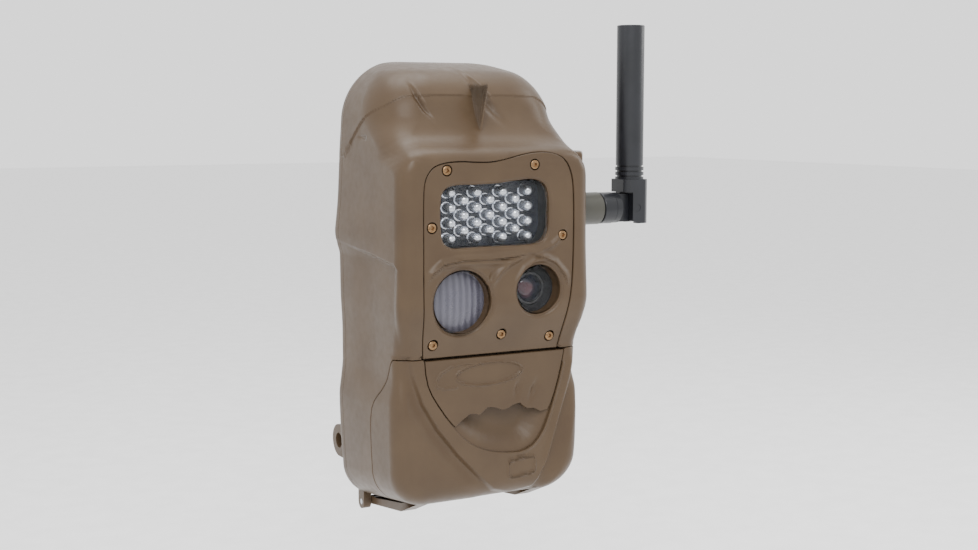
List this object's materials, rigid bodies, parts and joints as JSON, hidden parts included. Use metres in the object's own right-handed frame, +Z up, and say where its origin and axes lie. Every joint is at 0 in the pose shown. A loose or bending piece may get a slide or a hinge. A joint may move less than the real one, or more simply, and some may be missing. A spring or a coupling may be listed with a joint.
{
  "type": "trail camera",
  "caption": "Tree-mounted trail camera with infrared flash window, motion sensor, drop-down battery door with latch paddle, and folding side antenna.",
  "frame": {"origin": "centre of the tripod insert's mouth on the back", "axes": "+X to the object's left-hand side as seen from behind (right as seen from the front), +Y out of the back towards the tree, +Z up"},
  "size_m": [0.1581, 0.0955, 0.2531],
  "materials": {
    "tan_plastic": "fine satin texture",
    "seal_rubber": "matte",
    "screw_bronze": "bronze plated",
    "zinc_steel": "zinc plated",
    "brass": "machined",
    "clear_plastic": "clear polycarbonate",
    "lamp_resin": "clear epoxy",
    "navy_board": "solder mask",
    "milky_plastic": "translucent ribbed",
    "black_plastic": "satin",
    "coated_glass": "anti-reflection coated",
    "chip_black": "moulded epoxy",
    "cell_wrap": "shrink wrap",
    "grey_plastic": "satin",
    "display_glass": "glossy",
    "button_rubber": "matte",
    "card_plastic": "satin",
    "collar_olive": "satin",
    "antenna_black": "satin",
    "copper": "drawn wire"
  },
  "bodies": {
    "camera": {"housing": "tan_plastic", "rear_cover": "tan_plastic", "face_plate": "tan_plastic", "radio_pod": "tan_plastic", "housing_seal": "seal_rubber", "bay_seal": "seal_rubber", "cover_screws": "screw_bronze", "face_plate_screws": "screw_bronze", "pod_screws": "screw_bronze", "board_screws": "zinc_steel", "tripod_insert": "brass", "flash_window": "clear_plastic", "flash_leds": "lamp_resin", "led_board": "navy_board", "sensor_lens": "milky_plastic", "motion_sensor": "zinc_steel", "sensor_board": "navy_board", "camera_window": "clear_plastic", "lens_hood": "black_plastic", "lens_barrel": "black_plastic", "front_lens": "coated_glass", "lens_holder": "black_plastic", "infrared_filter": "coated_glass", "image_sensor": "chip_black", "camera_board": "navy_board", "chassis": "black_plastic", "main_board": "navy_board", "board_chips": "chip_black", "battery_tray": "black_plastic", "front_cells": "cell_wrap", "rear_cells": "cell_wrap", "cell_contacts": "zinc_steel", "cell_springs": "zinc_steel", "control_panel": "grey_plastic", "control_board": "navy_board", "display": "display_glass", "card_slot": "zinc_steel", "strike_clip": "zinc_steel", "hinge_pins": "zinc_steel", "radio_board": "navy_board", "antenna_socket": "brass", "coax_lead": "black_plastic", "antenna_collar": "collar_olive"},
    "door": {"door": "tan_plastic", "paddle_pin": "zinc_steel", "paddle_spring": "zinc_steel"},
    "paddle": {"latch_paddle": "tan_plastic"},
    "coupling_nut": {"antenna_nut": "antenna_black"},
    "swivel": {"antenna_base": "antenna_black"},
    "rod": {"antenna_rod": "antenna_black", "antenna_pin": "antenna_black", "antenna_cap": "antenna_black", "antenna_element": "copper"},
    "up_key": {"button_up": "button_rubber"},
    "more_key": {"button_more": "button_rubber"},
    "down_key": {"button_down": "button_rubber"},
    "power_slider": {"power_switch": "black_plastic"},
    "card": {"memory_card": "card_plastic"}
  },
  "joints": [
    {"name": "door_hinge", "type": "hinge", "parent": "camera", "child": "door", "pos_m": [0, -0.0165, -0.1225], "axis": [1, 0, 0], "range_deg": [0, 105], "deforming": ["strike_clip"]},
    {"name": "paddle_pivot", "type": "hinge", "parent": "door", "child": "paddle", "pos_m": [0, -0.0786, -0.043], "axis": [-1, 0, 0], "range_deg": [0, 12], "stiffness_Nm_per_rad": 0.05, "springref_deg": -5.73},
    {"name": "nut_spin", "type": "hinge", "parent": "camera", "child": "coupling_nut", "pos_m": [0.082, -0.058, 0.031], "axis": [1, 0, 0], "continuous": true},
    {"name": "antenna_swivel", "type": "hinge", "parent": "camera", "child": "swivel", "pos_m": [0.088, -0.058, 0.031], "axis": [1, 0, 0], "continuous": true},
    {"name": "antenna_fold", "type": "hinge", "parent": "swivel", "child": "rod", "pos_m": [0.098, -0.058, 0.031], "axis": [0, 1, 0], "range_deg": [0, 90]},
    {"name": "up_press", "type": "slide", "parent": "camera", "child": "up_key", "axis": [0, 1, 0], "range_m": [0, 0.0008], "stiffness_N_per_m": 400},
    {"name": "more_press", "type": "slide", "parent": "camera", "child": "more_key", "axis": [0, 1, 0], "range_m": [0, 0.0008], "stiffness_N_per_m": 400},
    {"name": "down_press", "type": "slide", "parent": "camera", "child": "down_key", "axis": [0, 1, 0], "range_m": [0, 0.0008], "stiffness_N_per_m": 400},
    {"name": "power_slide", "type": "slide", "parent": "camera", "child": "power_slider", "axis": [1, 0, 0], "range_m": [0, 0.004]},
    {"name": "card_push", "type": "slide", "parent": "camera", "child": "card", "axis": [0, 1, 0], "range_m": [0, 0.0012], "stiffness_N_per_m": 600}
  ]
}
